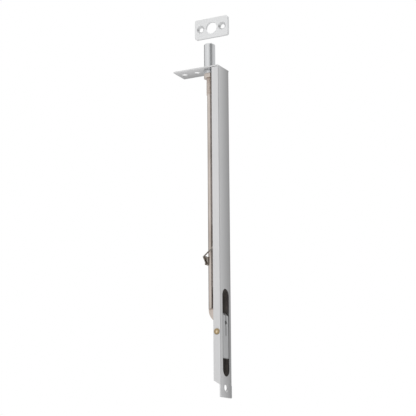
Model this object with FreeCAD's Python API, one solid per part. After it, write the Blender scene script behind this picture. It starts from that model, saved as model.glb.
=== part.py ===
import FreeCAD, Part
import math
import os

# Lever-action flush bolt, top-of-door pattern, in millimetres.
# Origin: on the bolt's axis, at the outer face of the top plate. +Z is the way the bolt is
# thrown, -Y is the way the face plate looks and X runs across the face plate.

# --- case: one folded sheet that makes the face plate, two flanges and the top plate ---
sheet = 1.2                    # sheet thickness
case_width = 20.0              # face plate width, across X
case_height = 290.0            # outer face of the top plate to the foot of the face plate
flange_depth = 6.8             # face plate's front to the flanges' back edge
top_plate_length = 45.0        # face plate's front to the end of the top plate
fold_radius = 0.7              # outer radius of each fold, struck sharp
fold_inner_radius = 0.2
corner_relief = 0.4            # gap between the flanges' top end and the top plate
foot_tab = 10.4                # face plate left below the flanges
flange_end_slope = 32.0        # degrees, slope of the flanges' lower end
foot_corner = 0.8              # corner radius of the face plate's foot

# --- fixing screws ---
screw_hole = 5.2               # clearance hole in the sheet
screw_head = 7.6               # mouth of the countersink
countersink_depth = 0.7
foot_screw_up = 8.3            # foot of the face plate to its screw hole
top_screw_first = 12.6         # bolt axis to the first screw hole in the top plate
top_screw_pitch = 12.6         # first to second screw hole

# --- bolt, rod and lock nut ---
bolt_diameter = 10.0
bolt_setback = 13.7            # face plate's front to the bolt's axis
bolt_projection = 23.5         # nose above the top plate, thrown
bolt_tail = 4.5                # bolt's lower end below the top plate's outer face
bolt_nose_chamfer = 0.8
bolt_tail_chamfer = 0.4
bolt_socket = 12.0             # depth of the threaded socket in the bolt's tail
guide_clearance = 0.1          # radial, bolt in the top plate
thread_diameter = 6.0
thread_pitch = 1.0
thread_depth = 0.45
thread_clearance = 0.06        # radial, rod in the nut and in the bolt's socket
thread_end = 24.0              # lower end of the thread, below the top plate's outer face
thread_rise = 0.10             # share of the pitch where the flank starts
thread_crest_start = 0.45      # share of the pitch where the crest starts
thread_crest_end = 0.65        # share of the pitch where the crest ends
rod_diameter = 4.8
nut_across_flats = 10.0
nut_height = 4.0
nut_chamfer = 0.2              # radial, at the nut's faces inside its flats

# --- lever ---
pivot_up = 54.8                # foot of the face plate to the lever's pivot
lever_side_room = 4.5          # case's side to the lever's side
lever_thickness = 7.0
lever_finger = 22.0            # pivot to the finger end
lever_heel = 14.0              # pivot to the top of the lever's flat face
lever_heel_bevel = 3.0         # height and depth of the bevel above the flat face
lever_tip_bevel = 0.6
lever_edge = 1.0               # rounding of the lever's long edges
lever_wall = 1.2               # wall round the two pockets in the finger end
lever_rib = 2.0                # rib between the pockets
lever_pocket = 8.0             # depth of the pockets
crank_radius = 11.0            # pivot to crank pin; the bolt's throw is twice this
crank_pin_diameter = 3.0
stake_mark_diameter = 3.6      # round mark on the lever's face
stake_mark_depth = 1.6
stake_mark_up = 8.3            # pivot to the mark
crank_pin_inset = 0.1          # lever's side to the end of the crank pin
crank_pin_slit_gap = 0.05      # lever's slit to the inner end of each half of the crank pin
pin_seat_clearance = 0.02      # radial, a pin in a piece that it is fixed to
pivot_clearance = 0.05         # radial, lever on its rivets

# --- foot of the rod: forged flat where it runs in the lever's slit ---
foot_thickness = 0.8
foot_bend_radius = 9.25        # centreline
foot_taper = 1.2               # length over which the rod thins to the foot
foot_side_clearance = 0.1
foot_end_clearance = 0.5
eye_clearance = 0.2            # radial, crank pin in the foot's eye

# --- slot in the face plate and the housing behind it ---
slot_side_gap = 0.5            # lever's side to the slot's edge
slot_end_room = 15.25          # finger room beyond the lever's finger end
housing_wall = 0.9
housing_rim = 0.8              # thickness of the rim behind the face plate
housing_rim_gap = 0.5          # flange's inner face to the rim
housing_rim_end = 2.3          # slot's end to the rim's end
housing_side_gap = 0.2         # slot's edge to the housing's inner wall
housing_back_gap = 0.3         # lever's back to the housing's back wall
housing_sweep_gap = 0.5        # lever's swept circle to the back walls

# --- pivot rivets ---
rivet_diameter = 4.0
rivet_head = 5.2
rivet_head_height = 0.45
rivet_head_round = 0.3
rivet_dimple = 2.0
rivet_dimple_depth = 0.3
rivet_inner_gap = 0.4          # end of the rivet to the wall of the lever's slit

# --- spring clip that steadies the rod ---
clip_strip = 0.6               # strip thickness
clip_width = 14.0
clip_pad_top = 150.0           # foot of the face plate to the top of the clip's pad
clip_knee = 134.0              # height where the strip leaves the face plate
clip_tip_up = 120.4
clip_tip_behind = 4.2          # bolt axis to the tip of the loop, towards the back
clip_end_up = 113.8
clip_lip = 1.6                 # lip turned back at the clip's lower end
clip_rod_gap = 0.3
clip_leg = 1.7                 # width left on each side of the window
clip_end_width = 8.5           # width that the strip narrows to at its lower end
clip_window_foot = 0.8         # tip of the loop to the window's lower end

# --- strike plate, shown off its seat above the bolt and standing on edge ---
strike_length = 33.0
strike_height = 18.5
strike_thickness = 2.5
strike_corner = 2.0
strike_hole_clearance = 0.4    # radial, bolt in the strike
strike_screw_pitch = 21.4
strike_screw_hole = 4.2
strike_screw_head = 7.4
strike_countersink = 1.6
strike_centre_y = -2.4
strike_centre_up = 38.7        # outer face of the top plate to the strike's centre

same_place = 1e-6              # how close counts as the same place

# --- places worked out from the sizes above ---
face_y = -bolt_setback
inner_face_y = face_y + sheet
foot_z = -case_height
pivot_y = face_y + lever_thickness / 2
pivot_z = foot_z + pivot_up
bolt_radius = bolt_diameter / 2
rod_radius = rod_diameter / 2
thread_radius = thread_diameter / 2
slit_half = foot_thickness / 2 + foot_side_clearance
lever_width = case_width - 2 * lever_side_room
slot_width = lever_width + 2 * slot_side_gap
slot_length = 2 * (lever_finger + slot_end_room)
nut_top = -bolt_tail


def vec(x, y, z):
    return FreeCAD.Vector(x, y, z)


def box(x0, x1, y0, y1, z0, z1):
    return Part.makeBox(x1 - x0, y1 - y0, z1 - z0, vec(x0, y0, z0))


def rod_z(radius, z0, z1, x=0.0, y=0.0):
    return Part.makeCylinder(radius, z1 - z0, vec(x, y, z0), vec(0, 0, 1))


def rod_x(radius, x0, x1, y, z):
    return Part.makeCylinder(radius, x1 - x0, vec(x0, y, z), vec(1, 0, 0))


def prism(corners, way):
    """Solid that a closed flat outline sweeps along a vector."""
    return Part.Face(Part.makePolygon(corners + corners[:1])).extrude(way)


def across(points, x0, x1):
    """Prism along X whose outline is a list of (y, z) corners."""
    return prism([vec(x0, y, z) for y, z in points], vec(x1 - x0, 0, 0))


def obround(width, length, y0, y1, centre_z):
    """Upright slot-shaped prism along Y."""
    half = (length - width) / 2
    radius = width / 2
    block = box(-radius, radius, y0, y1, centre_z - half, centre_z + half)
    for end in (-half, half):
        cap = Part.makeCylinder(radius, y1 - y0, vec(0, y0, centre_z + end), vec(0, 1, 0))
        block = block.fuse(cap)
    return block.removeSplitter()


def countersunk(hole, head, depth, start, way, through):
    """Cutter for a countersunk hole whose mouth is at start; way points into the plate."""
    shaft = Part.makeCylinder(hole / 2, through + 2, start - way, way)
    cone = Part.makeCone(head / 2, hole / 2, depth, start, way)
    return shaft.fuse(cone)


def edges_along(shape, direction, keep):
    """Straight edges of a shape that run along a direction and pass a test on their middle."""
    found = []
    for edge in shape.Edges:
        if edge.Curve.TypeId != "Part::GeomLine":
            continue
        run = edge.lastVertex().Point - edge.firstVertex().Point
        if abs(abs(run.normalize().dot(direction)) - 1) < same_place and keep(edge.CenterOfMass):
            found.append(edge)
    return found


# --- case ---

def case_channel():
    """Face plate with its two flanges, folded with round outer corners."""
    half = case_width / 2
    bottom = foot_z + foot_tab
    top = -(sheet + corner_relief)
    back = face_y + flange_depth
    outer = box(-half, half, face_y, back, bottom, top)
    front_edges = edges_along(outer, vec(0, 0, 1), lambda p: abs(p.y - face_y) < same_place)
    outer = outer.makeFillet(fold_radius, front_edges)
    inner = box(-half + sheet, half - sheet, inner_face_y, back + 1, bottom - 1, top + 1)
    inner_edges = edges_along(inner, vec(0, 0, 1), lambda p: abs(p.y - inner_face_y) < same_place)
    inner = inner.makeFillet(fold_inner_radius, inner_edges)
    rise = (flange_depth - sheet + 1) * math.tan(math.radians(flange_end_slope))
    wedge = across([(inner_face_y, bottom - 1), (back + 1, bottom - 1), (back + 1, bottom + rise),
                    (inner_face_y, bottom)], -half - 1, half + 1)
    return outer.cut(inner).cut(wedge)


def case_top():
    """Top plate and the fold that joins it to the face plate."""
    half = case_width / 2
    low = -(sheet + corner_relief)
    end_y = face_y + top_plate_length
    outer = across([(face_y, low), (face_y, 0), (end_y, 0), (end_y, -sheet),
                    (inner_face_y, -sheet), (inner_face_y, low)], -half, half)
    corner = vec(0, face_y, 0)
    fold = edges_along(outer, vec(1, 0, 0), lambda p: p.distanceToPoint(corner) < same_place)
    return outer.makeFillet(fold_radius, fold)


def case_foot():
    """Flat tab at the foot of the face plate."""
    half = case_width / 2
    tab = box(-half, half, face_y, inner_face_y, foot_z, foot_z + foot_tab)
    corners = edges_along(tab, vec(0, 1, 0), lambda p: abs(p.z - foot_z) < same_place)
    return tab.makeFillet(foot_corner, corners)


def make_case():
    case = case_channel().fuse([case_top(), case_foot()]).removeSplitter()
    case = case.cut(obround(slot_width, slot_length, face_y - 1, inner_face_y + 1, pivot_z))
    case = case.cut(rod_x(rivet_diameter / 2 + pin_seat_clearance, -case_width, case_width, pivot_y, pivot_z))
    case = case.cut(rod_z(bolt_radius + guide_clearance, -sheet - 1, 1))
    for y in (top_screw_first, top_screw_first + top_screw_pitch):
        case = case.cut(countersunk(screw_hole, screw_head, countersink_depth,
                                    vec(0, y, 0), vec(0, 0, -1), sheet))
    foot_screw = vec(0, face_y, foot_z + foot_screw_up)
    return case.cut(countersunk(screw_hole, screw_head, countersink_depth,
                                foot_screw, vec(0, 1, 0), sheet))


# --- bolt, nut and rod ---

def make_bolt():
    body = rod_z(bolt_radius, -bolt_tail, bolt_projection)
    rims = [edge for edge in body.Edges if edge.Curve.TypeId == "Part::GeomCircle"]
    nose = [edge for edge in rims if edge.CenterOfMass.z > 0]
    body = body.makeChamfer(bolt_nose_chamfer, nose)
    rims = [edge for edge in body.Edges if edge.Curve.TypeId == "Part::GeomCircle"]
    tail = [edge for edge in rims if edge.CenterOfMass.z < 0]
    body = body.makeChamfer(bolt_tail_chamfer, tail)
    return body.cut(rod_z(thread_radius + thread_clearance, -bolt_tail - 1, -bolt_tail + bolt_socket))


def make_lock_nut():
    """Hexagon nut, its corners turned off at both faces."""
    corner = nut_across_flats / math.sqrt(3)
    turns = [math.radians(30 + 60 * i) for i in range(6)]
    hexagon = prism([vec(corner * math.cos(turn), corner * math.sin(turn), nut_top - nut_height)
                     for turn in turns], vec(0, 0, nut_height))
    rim = nut_across_flats / 2 - nut_chamfer
    reach = rim + nut_height / 2 / math.tan(math.radians(30))
    upper = Part.makeCone(reach, rim, nut_height / 2, vec(0, 0, nut_top - nut_height / 2))
    lower = Part.makeCone(rim, reach, nut_height / 2, vec(0, 0, nut_top - nut_height))
    hexagon = hexagon.common(upper.fuse(lower))
    return hexagon.cut(rod_z(thread_radius + thread_clearance, nut_top - nut_height - 1, nut_top + 1))


def rod_thread():
    """Threaded end of the rod, as rings of the thread's pitch."""
    top = -bolt_tail + bolt_socket - 1
    turns = int((top + thread_end) / thread_pitch)
    root = thread_radius - thread_depth
    points = [vec(0, 0, -thread_end), vec(rod_radius, 0, -thread_end)]
    for turn in range(turns):
        base = -thread_end + turn * thread_pitch
        points.append(vec(root, 0, base + thread_rise * thread_pitch))
        points.append(vec(thread_radius, 0, base + thread_crest_start * thread_pitch))
        points.append(vec(thread_radius, 0, base + thread_crest_end * thread_pitch))
    last = -thread_end + turns * thread_pitch
    points.append(vec(root, 0, last))
    points.append(vec(0, 0, last))
    return Part.Face(Part.makePolygon(points + points[:1])).revolve(vec(0, 0, 0), vec(0, 0, 1), 360)


def rod_foot():
    """Flat foot: a quarter bend forward from the rod to the eye round the crank pin."""
    half = foot_thickness / 2
    crank_z = pivot_z + crank_radius
    bend_z = crank_z + foot_bend_radius
    bend_y = -foot_bend_radius
    reach = foot_bend_radius + rod_radius
    ring = rod_x(reach, -half, half, bend_y, bend_z)
    ring = ring.cut(rod_x(foot_bend_radius - rod_radius, -half, half, bend_y, bend_z))
    quarter = ring.common(box(-half, half, bend_y, bend_y + reach, bend_z - reach, bend_z))
    eye = rod_x(rod_radius, -half, half, pivot_y, crank_z)
    bridge = box(-half, half, pivot_y, bend_y, crank_z - rod_radius, crank_z + rod_radius)
    shank = box(-half, half, -rod_radius, rod_radius, bend_z, bend_z + foot_taper)
    foot = quarter.fuse([eye, bridge, shank])
    return foot.cut(rod_x(crank_pin_diameter / 2 + eye_clearance, -half - 1, half + 1, pivot_y, crank_z))


def make_rod():
    """Rod with a threaded top, thinned to its flat foot at the bottom."""
    bend_z = pivot_z + crank_radius + foot_bend_radius
    shank = rod_z(rod_radius, bend_z, -thread_end)
    taper_top = bend_z + foot_taper
    for side in (-1, 1):
        thin = side * foot_thickness / 2
        thick = side * rod_radius
        outline = [(thin, bend_z), (2 * thick, bend_z), (2 * thick, taper_top), (thick, taper_top)]
        wedge = prism([vec(x, -rod_radius, z) for x, z in outline], vec(0, rod_diameter, 0))
        shank = shank.cut(wedge)
    return shank.fuse([rod_thread(), rod_foot()]).removeSplitter()


# --- lever, its pins and its housing ---

def lever_top():
    return lever_heel + lever_heel_bevel


def lever_sweep():
    """Radius of the circle that the lever's heel sweeps about the pivot."""
    return math.hypot(lever_top(), lever_thickness / 2)


def lever_block():
    half = lever_width / 2
    deep = lever_thickness / 2
    tip = lever_tip_bevel
    outline = [(-deep, -lever_finger + tip), (-deep, lever_heel), (-deep + lever_heel_bevel, lever_top()),
               (deep, lever_top()), (deep, -lever_finger + tip), (deep - tip, -lever_finger),
               (-deep + tip, -lever_finger)]
    block = across([(pivot_y + y, pivot_z + z) for y, z in outline], -half, half)
    long_edges = edges_along(block, vec(0, 0, 1), lambda p: abs(abs(p.x) - half) < same_place)
    return block.makeFillet(lever_edge, long_edges)


def make_lever():
    half = lever_width / 2
    deep = lever_thickness / 2
    lever = lever_block()
    for side in (-1, 1):
        near = side * lever_rib / 2
        far = side * (half - lever_wall)
        pocket = box(min(near, far), max(near, far), pivot_y - deep + lever_wall, pivot_y + deep - lever_wall,
                     pivot_z - lever_finger - 1, pivot_z - lever_finger + lever_pocket)
        lever = lever.cut(pocket)
    slit_foot = pivot_z - rod_radius - foot_end_clearance
    lever = lever.cut(box(-slit_half, slit_half, pivot_y - deep - 1, pivot_y + deep + 1,
                          slit_foot, pivot_z + lever_top() + 1))
    lever = lever.cut(rod_x(rivet_diameter / 2 + pivot_clearance, -half - 1, half + 1, pivot_y, pivot_z))
    lever = lever.cut(rod_x(crank_pin_diameter / 2 + pin_seat_clearance, -half - 1, half + 1,
                            pivot_y, pivot_z + crank_radius))
    mark = Part.makeCylinder(stake_mark_diameter / 2, stake_mark_depth,
                             vec(0, pivot_y - deep, pivot_z + stake_mark_up), vec(0, 1, 0))
    return lever.cut(mark)


def make_crank_pin():
    """Crank pin, open in the middle where the rod's foot passes."""
    outer = lever_width / 2 - crank_pin_inset
    inner = slit_half + crank_pin_slit_gap
    radius = crank_pin_diameter / 2
    z = pivot_z + crank_radius
    left = rod_x(radius, -outer, -inner, pivot_y, z)
    right = rod_x(radius, inner, outer, pivot_y, z)
    return Part.makeCompound([left, right])


def make_pivot_rivet(side):
    """Headed rivet through one flange and the housing into one cheek of the lever."""
    skin = case_width / 2
    inner = slit_half + rivet_inner_gap
    shank = rod_x(rivet_diameter / 2, inner, skin, pivot_y, pivot_z)
    head = rod_x(rivet_head / 2, skin, skin + rivet_head_height, pivot_y, pivot_z)
    rim = [edge for edge in head.Edges
           if edge.Curve.TypeId == "Part::GeomCircle" and edge.CenterOfMass.x > skin + rivet_head_height / 2]
    head = head.makeFillet(rivet_head_round, rim)
    dimple = Part.makeCone(rivet_dimple / 2, rivet_dimple / 4, rivet_dimple_depth,
                           vec(skin + rivet_head_height, pivot_y, pivot_z), vec(-1, 0, 0))
    rivet = shank.fuse(head).cut(dimple)
    if side < 0:
        rivet = rivet.mirror(vec(0, 0, 0), vec(1, 0, 0))
    return rivet


def make_lever_housing():
    """Moulded housing behind the slot: side walls, and a back wall behind each finger well."""
    inner_width = slot_width + 2 * housing_side_gap
    inner_length = slot_length + 2 * housing_side_gap
    well_back = pivot_y + lever_thickness / 2 + housing_back_gap
    outer_back = well_back + housing_wall
    tray = obround(inner_width + 2 * housing_wall, inner_length + 2 * housing_wall,
                   inner_face_y, outer_back, pivot_z)
    rim_half = case_width / 2 - sheet - housing_rim_gap
    rim_up = slot_length / 2 + housing_rim_end
    rim = box(-rim_half, rim_half, inner_face_y, inner_face_y + housing_rim,
              pivot_z - rim_up, pivot_z + rim_up)
    housing = tray.fuse(rim).removeSplitter()
    housing = housing.cut(obround(inner_width, inner_length, inner_face_y - 1, well_back, pivot_z))
    sweep = lever_sweep() + housing_sweep_gap
    housing = housing.cut(box(-inner_width / 2, inner_width / 2, well_back - 1, outer_back + 1,
                              pivot_z - sweep, pivot_z + sweep))
    rivet_hole = rivet_diameter / 2 + pin_seat_clearance
    return housing.cut(rod_x(rivet_hole, -case_width, case_width, pivot_y, pivot_z))


# --- spring clip ---

def strip_run(start, end):
    """One straight run of the clip's strip between two (y, z) points on its centreline."""
    length = math.hypot(end[0] - start[0], end[1] - start[1])
    side_y = -(end[1] - start[1]) / length * clip_strip / 2
    side_z = (end[0] - start[0]) / length * clip_strip / 2
    corners = [(start[0] + side_y, start[1] + side_z), (end[0] + side_y, end[1] + side_z),
               (end[0] - side_y, end[1] - side_z), (start[0] - side_y, start[1] - side_z)]
    return across(corners, -clip_width / 2, clip_width / 2)


def make_spring_clip():
    """Strip from a pad on the face plate, round the rod through a window, to its back."""
    half = clip_width / 2
    pad_y = inner_face_y + clip_strip / 2
    bear_y = rod_radius + clip_rod_gap + clip_strip / 2
    knee_z = foot_z + clip_knee
    tip_z = foot_z + clip_tip_up
    end_z = foot_z + clip_end_up
    route = [(pad_y, foot_z + clip_pad_top), (pad_y, knee_z), (clip_tip_behind, tip_z),
             (bear_y, end_z + clip_lip), (bear_y + clip_lip / 2, end_z)]
    clip = strip_run(route[0], route[1])
    for start, end in zip(route[1:], route[2:]):
        clip = clip.fuse([rod_x(clip_strip / 2, -half, half, start[0], start[1]), strip_run(start, end)])
    window_half = half - clip_leg
    window = box(-window_half, window_half, inner_face_y + clip_strip + clip_rod_gap, clip_tip_behind + 1,
                 tip_z + clip_window_foot, knee_z)
    clip = clip.removeSplitter().cut(window)
    low = end_z - clip_strip
    for side in (-1, 1):
        outline = [(side * half, tip_z), (side * clip_end_width / 2, end_z), (side * clip_end_width / 2, low),
                   (side * clip_width, low), (side * clip_width, tip_z)]
        clip = clip.cut(prism([vec(x, 0, z) for x, z in outline], vec(0, bolt_diameter, 0)))
    return clip


# --- strike plate ---

def make_strike_plate():
    """Strike plate standing on edge, its countersunk side towards -X."""
    half = strike_thickness / 2
    y0 = strike_centre_y - strike_length / 2
    z0 = strike_centre_up - strike_height / 2
    plate = box(-half, half, y0, y0 + strike_length, z0, z0 + strike_height)
    plate = plate.makeFillet(strike_corner, edges_along(plate, vec(1, 0, 0), lambda p: True))
    plate = plate.cut(rod_x(bolt_radius + strike_hole_clearance, -half - 1, half + 1,
                            strike_centre_y, strike_centre_up))
    for side in (-1, 1):
        mouth = vec(-half, strike_centre_y + side * strike_screw_pitch / 2, strike_centre_up)
        plate = plate.cut(countersunk(strike_screw_hole, strike_screw_head, strike_countersink,
                                      mouth, vec(1, 0, 0), strike_thickness))
    return plate


def build():
    return {
        "case": make_case(),
        "bolt": make_bolt(),
        "lock_nut": make_lock_nut(),
        "rod": make_rod(),
        "lever": make_lever(),
        "crank_pin": make_crank_pin(),
        "pivot_rivet_left": make_pivot_rivet(-1),
        "pivot_rivet_right": make_pivot_rivet(1),
        "lever_housing": make_lever_housing(),
        "spring_clip": make_spring_clip(),
        "strike_plate": make_strike_plate(),
    }


os.makedirs("parts", exist_ok=True)
for name, shape in build().items():
    shape.exportStep(os.path.join("parts", name + ".step"))
    print(name, len(shape.Solids), shape.isValid(), round(shape.Volume, 1), shape.BoundBox)
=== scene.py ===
import math

import bpy
from bpy.props import FloatProperty, FloatVectorProperty, PointerProperty
from mathutils import Matrix, Vector


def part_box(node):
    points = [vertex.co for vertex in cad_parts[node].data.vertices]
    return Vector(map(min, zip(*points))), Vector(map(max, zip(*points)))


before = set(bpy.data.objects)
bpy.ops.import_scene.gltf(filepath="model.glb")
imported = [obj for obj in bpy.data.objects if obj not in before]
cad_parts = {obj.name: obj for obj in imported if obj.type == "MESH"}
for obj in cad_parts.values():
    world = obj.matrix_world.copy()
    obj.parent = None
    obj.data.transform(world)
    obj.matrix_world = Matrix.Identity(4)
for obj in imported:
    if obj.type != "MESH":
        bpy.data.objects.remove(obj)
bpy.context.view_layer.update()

bl_info = {
    "name": "Lever flush bolt finishes",
    "version": (1, 0, 0),
    "blender": (4, 5, 0),
    "location": "View3D > Sidebar > Flush Bolt",
    "description": "Gives a lever-action flush bolt its metal and nylon finishes and a plain studio",
    "category": "Object",
}

MM = 0.001
HALF_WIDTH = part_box("case")[1].x
RECESS = 1.5 * MM          # reach of the painted shade in holes and gaps
EDGE_SHARPNESS = 6.0       # how fast the wear on an edge comes on
BEVEL_SAMPLES = 4
# colour of the painted highlight in the rivets' dimples
DIMPLE_HIGHLIGHT = (0.80, 0.66, 0.46)
WORN_BRASS = (0.80, 0.68, 0.48)
FLOOR_REACH = 12.0
FLOOR_SIDES = 96
AIM = Vector((-8.3, -1.7, 17.3)) * MM     # camera's target from the bolt's axis and the case's middle height
KEY_PLACE = (-1.2, 0.26, 0.1)
KEY_AIM = (0.0, 0.0, -0.13)
KEY_SIZE = 0.8
KEY_POWER = 0.25
SOFTBOXES = (              # direction, half angle in degrees, strength
    ((-0.86, 0.45, 0.25), 66, 0.56),
    ((0.80, -0.55, 0.25), 72, 0.41),
    ((0.1, 0.1, 1.0), 70, 0.5),
)
ALL_ROUND = 0.24           # light from every side
WHITE = (1.0, 1.0, 1.0, 1.0)


# --- sizes and colours that a user would change ---

def colour(name, description, default):
    return FloatVectorProperty(name=name, description=description, subtype="COLOR", size=3,
                               min=0.0, max=1.0, default=default)


class FlushBoltFinishes(bpy.types.PropertyGroup):
    """Colours and surface detail of the flush bolt's pieces."""

    satin_steel: colour("Satin Steel", "Plated sheet of the case", (0.745, 0.745, 0.75))
    lever_metal: colour("Lever Metal", "Satin plated casting of the lever", (0.60, 0.605, 0.61))
    strike_metal: colour("Strike Metal", "Plated strike plate", (0.845, 0.85, 0.855))
    bolt_steel: colour("Bolt Steel", "Turned and polished bar", (0.80, 0.81, 0.82))
    zinc_pale: colour("Pale Zinc", "Yellow passivated zinc where it is pale", (0.76, 0.695, 0.64))
    zinc_deep: colour("Deep Zinc", "Yellow passivated zinc where it is deep", (0.48, 0.42, 0.37))
    brass: colour("Brass", "Turned brass of the rivets", (0.46, 0.35, 0.20))
    spring_steel: colour("Spring Steel", "Tempered strip of the clip", (0.42, 0.39, 0.36))
    nylon: colour("Nylon", "Black moulded housing", (0.118, 0.108, 0.102))
    edge_round: FloatProperty(name="Edge Rounding", description="Radius that the light sees on sharp edges",
                              default=0.25 * MM, min=0.0, unit="LENGTH")


class FlushBoltStage(bpy.types.PropertyGroup):
    """Camera, floor and light."""

    azimuth: FloatProperty(name="Azimuth", description="Turn of the camera about the bolt",
                           default=math.radians(-62.29), subtype="ANGLE")
    elevation: FloatProperty(name="Elevation", description="Height angle of the camera",
                             default=math.radians(-12.63), subtype="ANGLE")
    roll: FloatProperty(name="Roll", description="Tilt of the camera about its own axis",
                        default=math.radians(-0.38), subtype="ANGLE")
    distance: FloatProperty(name="Distance", description="Camera to its target", default=1.154, unit="LENGTH")
    lens: FloatProperty(name="Lens", description="Focal length in millimetres", default=115.9, min=1.0)
    floor_drop: FloatProperty(name="Floor Drop", description="Foot of the case to the floor",
                              default=0.13, unit="LENGTH")
    light: FloatProperty(name="Light", description="Strength of the studio light", default=1.0, min=0.0)


# --- shader maths ---

class Socket:
    """An output socket whose arithmetic adds Math nodes to its own node tree."""

    def __init__(self, finish, socket):
        self.finish = finish
        self.socket = socket

    def math(self, operation, *values):
        inputs = dict(enumerate((self,) + values))
        return self.finish.node("ShaderNodeMath", {"operation": operation}, inputs)

    def __add__(self, other):
        return self.math("ADD", other)

    def __sub__(self, other):
        return self.math("SUBTRACT", other)

    def __rsub__(self, other):
        return self.finish.node("ShaderNodeMath", {"operation": "SUBTRACT"}, {0: other, 1: self})

    def __mul__(self, other):
        return self.math("MULTIPLY", other)

    def __pow__(self, other):
        return self.math("POWER", other)

    def clamp(self):
        return self.finish.node("ShaderNodeClamp", {}, {"Value": self})


class NodeTree:
    """Makes nodes in a tree, each from its type, its settings and its inputs."""

    def __init__(self, tree):
        self.tree = tree
        tree.nodes.clear()

    def node(self, kind, settings, inputs, output=0):
        node = self.tree.nodes.new(kind)
        for key, value in settings.items():
            if key == "stops":
                self.set_stops(node.color_ramp, value)
            else:
                setattr(node, key, value)
        for key, value in inputs.items():
            target = self.find(node.inputs, key)
            if isinstance(value, Socket):
                self.tree.links.new(value.socket, target)
            else:
                target.default_value = value
        return Socket(self, self.find(node.outputs, output))

    @staticmethod
    def find(sockets, key):
        """A socket by its name among those in use, or by its place."""
        if isinstance(key, int):
            return sockets_in_use(sockets)[key]
        return next(socket for socket in sockets if socket.enabled and socket.name == key)

    @staticmethod
    def set_stops(ramp, stops):
        while len(ramp.elements) > 1:
            ramp.elements.remove(ramp.elements[-1])
        ramp.elements[0].position = stops[0][0]
        ramp.elements[0].color = stops[0][1]
        for place, value in stops[1:]:
            ramp.elements.new(place).color = value

    def blend(self, low, high, factor):
        """A colour between two colours."""
        return self.node("ShaderNodeMix", {"data_type": "RGBA"},
                         {"Factor": factor, "A": rgba(low), "B": rgba(high)})

    def place(self, stretch=(1, 1, 1)):
        """The piece's own coordinates, stretched."""
        point = self.node("ShaderNodeTexCoord", {}, {}, "Object")
        return self.node("ShaderNodeVectorMath", {"operation": "MULTIPLY"}, {0: point, 1: stretch})

    def noise(self, scale, detail=4.0, stretch=(1, 1, 1), rough=0.55):
        """Noise from 0 to 1 at a scale in features per metre."""
        settings = {"Vector": self.place(stretch), "Scale": scale, "Detail": detail, "Roughness": rough}
        return self.node("ShaderNodeTexNoise", {}, settings)


def sockets_in_use(sockets):
    return [socket for socket in sockets if socket.enabled]


def rgba(value):
    return value if isinstance(value, Socket) else (*value, 1.0)


class Finish(NodeTree):
    """One material: a Principled shader with what varies over the surface."""

    def __init__(self, name):
        self.material = bpy.data.materials.new(name)
        self.material.use_nodes = True
        super().__init__(self.material.node_tree)

    def edge(self, radius):
        """1 on sharp edges, falling to 0 on flat faces."""
        round_normal = self.node("ShaderNodeBevel", {"samples": BEVEL_SAMPLES}, {"Radius": radius})
        flat_normal = self.node("ShaderNodeNewGeometry", {}, {}, "Normal")
        alike = self.node("ShaderNodeVectorMath", {"operation": "DOT_PRODUCT"},
                          {0: round_normal, 1: flat_normal}, "Value")
        return ((1.0 - alike) * EDGE_SHARPNESS).clamp()

    def open_air(self, reach):
        """1 in the open, falling towards 0 deep in a hole, a corner or a gap."""
        return self.node("ShaderNodeAmbientOcclusion", {"samples": 8}, {"Distance": reach}, "AO")

    def across(self, axis):
        """The piece's own coordinate along an axis."""
        point = self.node("ShaderNodeTexCoord", {}, {}, "Object")
        return self.node("ShaderNodeSeparateXYZ", {}, {"Vector": point}, "XYZ".index(axis))

    def bump(self, height, distance, radius):
        """Normal from a height, on edges rounded for the light."""
        base = self.node("ShaderNodeBevel", {"samples": BEVEL_SAMPLES}, {"Radius": radius})
        return self.node("ShaderNodeBump", {}, {"Height": height, "Distance": distance, "Strength": 1.0,
                                                "Normal": base})

    def close(self, surface, roughness, normal, metallic=1.0):
        """Ends the tree with its shader and gives the material."""
        inputs = {"Base Color": rgba(surface), "Roughness": roughness, "Metallic": metallic, "Normal": normal}
        shader = self.node("ShaderNodeBsdfPrincipled", {}, inputs)
        output = self.tree.nodes.new("ShaderNodeOutputMaterial")
        self.tree.links.new(shader.socket, output.inputs["Surface"])
        return self.material


def darker(value, share):
    return tuple(channel * share for channel in value)


# --- finishes ---

def satin_sheet(name, base, radius, grain_way=(1.0, 1.0, 0.02), rough=0.34, depth=0.004 * MM, shade=0.0,
                recess_shade=0.12):
    """Plated sheet with a fine brushed grain, faint handling marks and bright worn edges.

    shade is how much darker the sheet gets towards +X, a painted shade standing in for the light falling off
    across the width, and the last argument is the share of the colour left in deep corners and gaps, a
    painted shade where less light reaches."""
    finish = Finish(name)
    grain = finish.noise(9000.0, 2.0, grain_way)
    cloud = finish.noise(28.0, 3.0)
    smudge = finish.noise(120.0, 5.0, rough=0.7)
    wear = finish.edge(radius * 2)
    tone = (grain * 0.35 + cloud * 0.45 + smudge * 0.2).clamp()
    surface = finish.blend(darker(base, 0.90), darker(base, 1.06), tone)
    # painted shade: the colour darkens towards +X, standing in for light falling off across the width
    if shade:
        shade_falloff = (finish.across("X") * (0.5 / HALF_WIDTH) + 0.5).clamp()
        surface = finish.blend(surface, darker(base, 1.0 - shade), shade_falloff * 0.9)
    surface = finish.blend(surface, darker(base, 1.16), wear * 0.5)
    # painted shade: the colour darkens deep in holes, corners and gaps
    surface = finish.blend(darker(base, recess_shade), surface, finish.open_air(RECESS) ** 1.4)
    roughness = (grain * 0.10 + smudge * 0.12 + (rough - 0.11)).clamp() - wear * 0.08
    return finish.close(surface, roughness, finish.bump(grain * 0.8 + smudge * 0.2, depth, radius))


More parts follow.
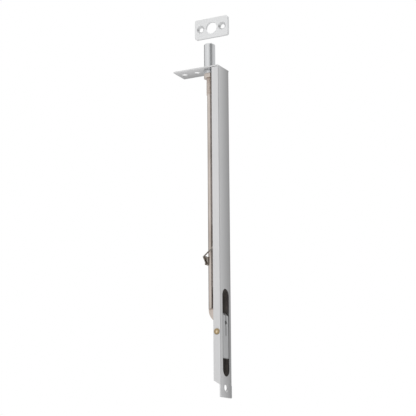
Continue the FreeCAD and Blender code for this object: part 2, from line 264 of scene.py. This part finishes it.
def turned_steel(name, base, radius):
    """Turned and polished bar: fine rings round the axis, with light drag marks along it."""
    finish = Finish(name)
    rings = finish.noise(7000.0, 2.0, (0.02, 0.02, 1.0))
    drag = finish.noise(900.0, 3.0, (1.0, 1.0, 0.03))
    cloud = finish.noise(60.0, 3.0)
    wear = finish.edge(radius * 2)
    tone = (rings * 0.4 + drag * 0.3 + cloud * 0.3).clamp()
    surface = finish.blend(darker(base, 0.88), darker(base, 1.05), tone)
    roughness = (rings * 0.10 + drag * 0.12 + 0.19).clamp() + wear * 0.05
    return finish.close(surface, roughness, finish.bump(rings + drag * 0.5, 0.003 * MM, radius))


def yellow_zinc(name, pale, deep, radius):
    """Yellow passivated zinc: a film that shifts between straw, pink and brown."""
    finish = Finish(name)
    film = finish.noise(45.0, 3.0, (1.0, 1.0, 0.35))
    drawn = finish.noise(2600.0, 3.0, (1.0, 1.0, 0.015))
    speck = finish.noise(1500.0, 4.0, rough=0.7)
    wear = finish.edge(radius * 2)
    pink = (pale[0] * 1.04, pale[1] * 0.93, pale[2] * 0.95)
    surface = finish.blend(deep, pale, ((film - 0.35) * 2.6).clamp())
    surface = finish.blend(surface, pink, ((drawn - 0.45) * 1.6).clamp())
    surface = finish.blend(surface, darker(deep, 0.75), ((speck - 0.62) * 3.0).clamp())
    surface = finish.blend(surface, darker(pale, 1.12), wear * 0.5)
    roughness = (drawn * 0.14 + film * 0.08 + 0.18).clamp()
    return finish.close(surface, roughness, finish.bump(drawn * 0.7 + speck * 0.3, 0.006 * MM, radius))


def turned_brass(name, base, radius):
    """Brass rivet head with turned rings, with a painted highlight that makes the dimple bright in a duller
    ring.
    """
    finish = Finish(name)
    low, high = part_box("pivot_rivet_left")
    centre = (0.0, (low.y + high.y) / 2, (low.z + high.z) / 2)
    point = finish.node("ShaderNodeVectorMath", {"operation": "SUBTRACT"},
                        {0: finish.node("ShaderNodeTexCoord", {}, {}, "Object"), 1: centre})
    flat = finish.node("ShaderNodeVectorMath", {"operation": "MULTIPLY"}, {0: point, 1: (0.0, 1.0, 1.0)})
    distance = finish.node("ShaderNodeVectorMath", {"operation": "LENGTH"}, {0: flat}, "Value")
    reach = distance * (2 / (high.y - low.y))
    # painted highlight: the colour brightens inside the dimple round the rivet's axis
    bright = (1.0 - (reach - 0.30) * 7.0).clamp()
    rings = finish.noise(5000.0, 2.0, (0.05, 1.0, 1.0))
    cloud = finish.noise(500.0, 4.0)
    wear = finish.edge(radius * 2)
    surface = finish.blend(darker(base, 0.72), base, (cloud * 0.7 + rings * 0.4).clamp())
    surface = finish.blend(surface, DIMPLE_HIGHLIGHT, bright)
    surface = finish.blend(surface, WORN_BRASS, wear * 0.35)
    return finish.close(surface, (rings * 0.12 + 0.20).clamp(), finish.bump(rings, 0.004 * MM, radius))


def black_nylon(name, base, radius):
    """Moulded nylon with a fine spark-eroded grain and dust in it."""
    finish = Finish(name)
    grain = finish.noise(3200.0, 3.0, rough=0.6)
    dust = finish.noise(260.0, 5.0, rough=0.7)
    dusty = (base[0] * 1.9, base[1] * 1.8, base[2] * 1.7)
    surface = finish.blend(base, dusty, ((dust - 0.4) * 1.8).clamp())
    return finish.close(surface, (grain * 0.2 + 0.46).clamp(), finish.bump(grain, 0.02 * MM, radius), 0.0)


def rolled_spring(name, base, radius):
    """Tempered strip: rolled streaks along its run under a straw and brown temper film."""
    finish = Finish(name)
    streak = finish.noise(2400.0, 3.0, (1.0, 0.05, 0.05))
    temper = finish.noise(90.0, 3.0)
    wear = finish.edge(radius * 2)
    surface = finish.blend(darker(base, 0.62), base, (streak * 0.6 + 0.2).clamp())
    straw = (base[0] * 1.25, base[1] * 1.12, base[2] * 0.95)
    surface = finish.blend(surface, straw, ((temper - 0.4) * 2.0).clamp())
    surface = finish.blend(surface, darker(base, 1.4), wear * 0.7)
    return finish.close(surface, (streak * 0.16 + 0.24).clamp(), finish.bump(streak, 0.006 * MM, radius))


def pale_floor(name):
    """Matt painted board."""
    finish = Finish(name)
    mottle = finish.noise(3.0, 4.0)
    surface = finish.blend((0.80, 0.80, 0.80), (0.84, 0.84, 0.84), mottle)
    return finish.close(surface, (mottle * 0.1 + 0.75).clamp(), finish.bump(mottle, 0.05 * MM, 0.1 * MM), 0.0)


def dress(node, material):
    """Puts a finish on every material slot of a CAD piece."""
    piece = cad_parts[node]
    piece.data.materials.clear()
    piece.data.materials.append(material)
    return piece


# --- operators: one for each piece or group of like pieces ---

class FinishOperator:
    """What the finish operators share."""

    bl_options = {"REGISTER", "UNDO"}

    @property
    def choice(self):
        return bpy.context.scene.flush_bolt_finishes


class FLUSHBOLT_OT_case(FinishOperator, bpy.types.Operator):
    """Give the folded case its satin plated sheet"""

    bl_idname = "flushbolt.case"
    bl_label = "Case"

    def execute(self, context):
        # the case's sheet gets a painted shade that darkens it towards +X, and painted shade in its holes and
        # gaps
        sheet = satin_sheet("Satin_Plated_Sheet", tuple(self.choice.satin_steel), self.choice.edge_round,
                            shade=0.53)
        dress("case", sheet)
        return {"FINISHED"}


class FLUSHBOLT_OT_bolt(FinishOperator, bpy.types.Operator):
    """Give the round bolt and the crank pin their turned steel"""

    bl_idname = "flushbolt.bolt"
    bl_label = "Bolt and Crank Pin"

    def execute(self, context):
        steel = turned_steel("Turned_Steel", tuple(self.choice.bolt_steel), self.choice.edge_round)
        for node in ("bolt", "crank_pin"):
            dress(node, steel)
        return {"FINISHED"}


class FLUSHBOLT_OT_rod(FinishOperator, bpy.types.Operator):
    """Give the rod and its lock nut their yellow passivated zinc"""

    bl_idname = "flushbolt.rod"
    bl_label = "Rod and Lock Nut"

    def execute(self, context):
        pale, deep = tuple(self.choice.zinc_pale), tuple(self.choice.zinc_deep)
        zinc = yellow_zinc("Yellow_Passivated_Zinc", pale, deep, self.choice.edge_round)
        for node in ("rod", "lock_nut"):
            dress(node, zinc)
        return {"FINISHED"}


class FLUSHBOLT_OT_lever(FinishOperator, bpy.types.Operator):
    """Give the flip lever its satin plated casting"""

    bl_idname = "flushbolt.lever"
    bl_label = "Lever"

    def execute(self, context):
        # the lever gets a painted shade that darkens it towards +X, and darker painted shade in its gaps and
        # recesses
        casting = satin_sheet("Satin_Plated_Casting", tuple(self.choice.lever_metal), self.choice.edge_round,
                              rough=0.40, depth=0.006 * MM, shade=0.20, recess_shade=0.55)
        dress("lever", casting)
        return {"FINISHED"}


class FLUSHBOLT_OT_rivets(FinishOperator, bpy.types.Operator):
    """Give the two pivot rivets their turned brass"""

    bl_idname = "flushbolt.rivets"
    bl_label = "Pivot Rivets"

    def execute(self, context):
        brass = turned_brass("Turned_Brass", tuple(self.choice.brass), self.choice.edge_round)
        for node in ("pivot_rivet_left", "pivot_rivet_right"):
            dress(node, brass)
        return {"FINISHED"}


class FLUSHBOLT_OT_housing(FinishOperator, bpy.types.Operator):
    """Give the lever's housing its black nylon"""

    bl_idname = "flushbolt.housing"
    bl_label = "Lever Housing"

    def execute(self, context):
        nylon = black_nylon("Black_Nylon", tuple(self.choice.nylon), self.choice.edge_round)
        dress("lever_housing", nylon)
        return {"FINISHED"}


class FLUSHBOLT_OT_clip(FinishOperator, bpy.types.Operator):
    """Give the spring clip its tempered strip"""

    bl_idname = "flushbolt.clip"
    bl_label = "Spring Clip"

    def execute(self, context):
        strip = rolled_spring("Tempered_Strip", tuple(self.choice.spring_steel), self.choice.edge_round)
        dress("spring_clip", strip)
        return {"FINISHED"}


class FLUSHBOLT_OT_strike(FinishOperator, bpy.types.Operator):
    """Give the strike plate its plated steel"""

    bl_idname = "flushbolt.strike"
    bl_label = "Strike Plate"

    def execute(self, context):
        plated = satin_sheet("Plated_Strike", tuple(self.choice.strike_metal), self.choice.edge_round,
                             (1.0, 0.02, 1.0), rough=0.42)
        dress("strike_plate", plated)
        return {"FINISHED"}


# --- studio ---

def make_floor(drop):
    """A wide round board below the foot of the case."""
    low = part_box("case")[0].z - drop
    mesh = bpy.data.meshes.new("floor")
    turns = [math.tau * i / FLOOR_SIDES for i in range(FLOOR_SIDES)]
    ring = [(FLOOR_REACH * math.cos(turn), FLOOR_REACH * math.sin(turn), low) for turn in turns]
    mesh.from_pydata(ring, [], [tuple(range(FLOOR_SIDES))])
    floor = bpy.data.objects.new("floor", mesh)
    bpy.context.scene.collection.objects.link(floor)
    mesh.materials.append(pale_floor("Pale_Floor"))


def softbox(tree, direction, width, strength):
    """Light from a soft patch of the surroundings, centred on a direction."""
    way = tree.node("ShaderNodeTexCoord", {}, {}, "Generated")
    centre = Vector(direction).normalized()
    facing = tree.node("ShaderNodeVectorMath", {"operation": "DOT_PRODUCT"}, {0: way, 1: centre}, "Value")
    edge = math.cos(width)
    limits = {"From Min": edge, "From Max": (1 + edge) / 2, "To Min": 0.0, "To Max": 1.0}
    patch = tree.node("ShaderNodeMapRange", {"interpolation_type": "SMOOTHSTEP"}, {"Value": facing, **limits})
    return patch * strength


def make_surroundings(strength):
    """White surroundings: plain white behind the object, softboxes for the light on it."""
    world = bpy.data.worlds.new("Studio")
    bpy.context.scene.world = world
    world.use_nodes = True
    tree = NodeTree(world.node_tree)
    first, *others = [softbox(tree, way, math.radians(width), power) for way, width, power in SOFTBOXES]
    light = sum(others, first) + ALL_ROUND
    lit = tree.node("ShaderNodeBackground", {}, {"Color": WHITE, "Strength": light * strength})
    plain = tree.node("ShaderNodeBackground", {}, {"Color": WHITE, "Strength": 1.0})
    seen = tree.node("ShaderNodeLightPath", {}, {}, "Is Camera Ray")
    mixed = tree.node("ShaderNodeMixShader", {}, {0: seen, 1: lit, 2: plain})
    output = world.node_tree.nodes.new("ShaderNodeOutputWorld")
    world.node_tree.links.new(mixed.socket, output.inputs["Surface"])


def make_soft_light(name, place, aim, size, power):
    data = bpy.data.lights.new(name, "AREA")
    data.shape = "DISK"
    data.size = size
    data.energy = power
    light = bpy.data.objects.new(name, data)
    light.location = place
    light.rotation_euler = (Vector(aim) - Vector(place)).to_track_quat("-Z", "Y").to_euler()
    bpy.context.scene.collection.objects.link(light)


def make_camera(stage):
    """Camera below the middle of the case, looking up along its side and face plate."""
    low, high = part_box("case")
    target = Vector(((low.x + high.x) / 2, 0.0, (low.z + high.z) / 2)) + AIM
    turn, lift = stage.azimuth, stage.elevation
    back = Vector((math.sin(turn) * math.cos(lift), -math.cos(turn) * math.cos(lift), math.sin(lift)))
    data = bpy.data.cameras.new("camera")
    data.lens = stage.lens
    data.sensor_width = 36.0
    camera = bpy.data.objects.new("camera", data)
    camera.location = target + back * stage.distance
    facing = (-back).to_track_quat("-Z", "Y").to_matrix().to_4x4()
    camera.rotation_euler = (facing @ Matrix.Rotation(stage.roll, 4, "Z")).to_euler()
    bpy.context.scene.collection.objects.link(camera)
    bpy.context.scene.camera = camera


class FLUSHBOLT_OT_stage(bpy.types.Operator):
    """Make the pale floor, the soft studio light and the camera"""

    bl_idname = "flushbolt.stage"
    bl_label = "Stage"
    bl_options = {"REGISTER", "UNDO"}

    def execute(self, context):
        stage = context.scene.flush_bolt_stage
        make_floor(stage.floor_drop)
        make_surroundings(stage.light)
        make_soft_light("key_light", KEY_PLACE, KEY_AIM, KEY_SIZE, KEY_POWER * stage.light)
        make_camera(stage)
        context.scene.view_settings.view_transform = "Standard"
        return {"FINISHED"}


class FLUSHBOLT_PT_sidebar(bpy.types.Panel):
    """Lists the pieces of the flush bolt"""

    bl_idname = "FLUSHBOLT_PT_sidebar"
    bl_label = "Flush Bolt"
    bl_space_type = "VIEW_3D"
    bl_region_type = "UI"
    bl_category = "Flush Bolt"

    def draw(self, context):
        for group in (context.scene.flush_bolt_finishes, context.scene.flush_bolt_stage):
            for key in group.bl_rna.properties.keys():
                if key not in ("rna_type", "name"):
                    self.layout.prop(group, key)
        for operator in PIECES:
            self.layout.operator(operator.bl_idname)


PIECES = (FLUSHBOLT_OT_case, FLUSHBOLT_OT_bolt, FLUSHBOLT_OT_rod, FLUSHBOLT_OT_lever, FLUSHBOLT_OT_rivets,
          FLUSHBOLT_OT_housing, FLUSHBOLT_OT_clip, FLUSHBOLT_OT_strike, FLUSHBOLT_OT_stage)
CLASSES = (FlushBoltFinishes, FlushBoltStage) + PIECES + (FLUSHBOLT_PT_sidebar,)


def register():
    for cls in CLASSES:
        bpy.utils.register_class(cls)
    bpy.types.Scene.flush_bolt_finishes = PointerProperty(type=FlushBoltFinishes)
    bpy.types.Scene.flush_bolt_stage = PointerProperty(type=FlushBoltStage)


def unregister():
    del bpy.types.Scene.flush_bolt_stage
    del bpy.types.Scene.flush_bolt_finishes
    for cls in reversed(CLASSES):
        bpy.utils.unregister_class(cls)


def main():
    register()
    for operator in PIECES:
        group, name = operator.bl_idname.split(".")
        getattr(getattr(bpy.ops, group), name)()


if __name__ == "__main__":
    main()
